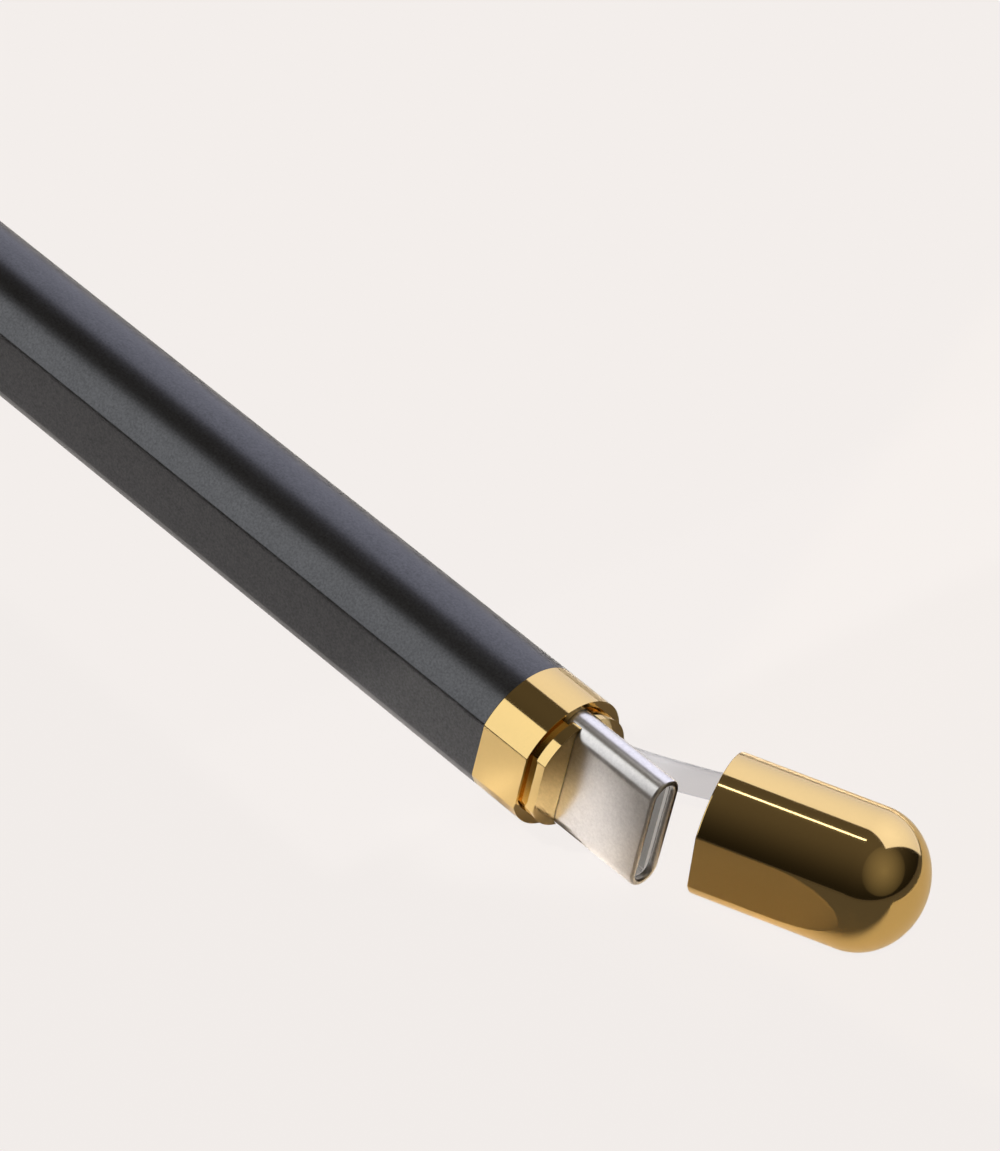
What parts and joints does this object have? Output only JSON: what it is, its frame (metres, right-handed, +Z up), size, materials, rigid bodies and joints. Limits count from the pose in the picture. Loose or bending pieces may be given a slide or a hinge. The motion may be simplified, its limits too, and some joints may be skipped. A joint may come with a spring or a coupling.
{
  "type": "rechargeable tablet stylus",
  "caption": "Tablet stylus with a flat-sided barrel, a stepped ferrule carrying a USB-C charging plug, a domed cap on a flexible strap and a sprung, screw-on nib.",
  "frame": {"origin": "centre of the USB-C plug at the spigot's end face", "axes": "+X along the pen towards the plug and the cap, -Y the way the flat faces, +Z up along the flat's chord"},
  "size_m": [0.1746, 0.0166, 0.0098],
  "materials": {
    "black_anodised": "matte black anodised, fine bead-blasted grain",
    "polished_gold": "polished gold plate",
    "plug_steel": "satin drawn steel",
    "clear_strap": "frosted clear, soft",
    "black_plastic": "matte moulded",
    "plug_plastic": "matte moulded",
    "nib_plastic": "smooth matte",
    "brass_rod": "turned",
    "spring_steel": "bright",
    "copper_ring": "turned",
    "board_green": "solder mask",
    "chip_black": "moulded",
    "cell_wrap": "shrink wrap",
    "fibre_washer": "fibre",
    "ribbon_amber": "film",
    "magnet_nickel": "nickel plated",
    "seal_rubber": "soft",
    "contact_gold": "gold flash"
  },
  "bodies": {
    "pen": {"barrel": "black_anodised", "nose_cone": "black_anodised", "nib_spring": "spring_steel", "shaft_guide": "black_plastic", "tilt_electrode": "copper_ring", "force_sensor": "board_green", "chassis": "black_plastic", "battery": "cell_wrap", "battery_insulators": "fibre_washer", "main_board": "board_green", "board_chips": "chip_black", "board_screws": "spring_steel", "flex_cable": "ribbon_amber", "magnets": "magnet_nickel", "ferrule": "polished_gold", "ferrule_seal": "seal_rubber", "plug_shell": "plug_steel", "plug_insulator": "plug_plastic", "plug_contacts": "contact_gold", "plug_latches": "spring_steel", "plug_board": "board_green", "plug_seal": "seal_rubber", "strap": "clear_strap"},
    "cap": {"cap_shell": "polished_gold", "cap_liner": "black_plastic"},
    "nib_carrier": {"nib_shaft": "brass_rod", "shaft_collar": "brass_rod"},
    "nib": {"nib": "nib_plastic"}
  },
  "joints": [
    {"name": "cap_swing", "type": "hinge", "parent": "pen", "child": "cap", "pos_m": [0.0002, 0.00335, 0], "axis": [0, 0, 1], "range_deg": [-22, 70], "stiffness_Nm_per_rad": 0.0001, "deforming": ["strap"]},
    {"name": "nib_press", "type": "slide", "parent": "pen", "child": "nib_carrier", "axis": [1, 0, 0], "range_m": [0, 0.0003], "stiffness_N_per_m": 1500},
    {"name": "nib_unscrew", "type": "hinge", "parent": "nib_carrier", "child": "nib", "pos_m": [-0.15, 0, 0], "axis": [-1, 0, 0], "continuous": true}
  ]
}
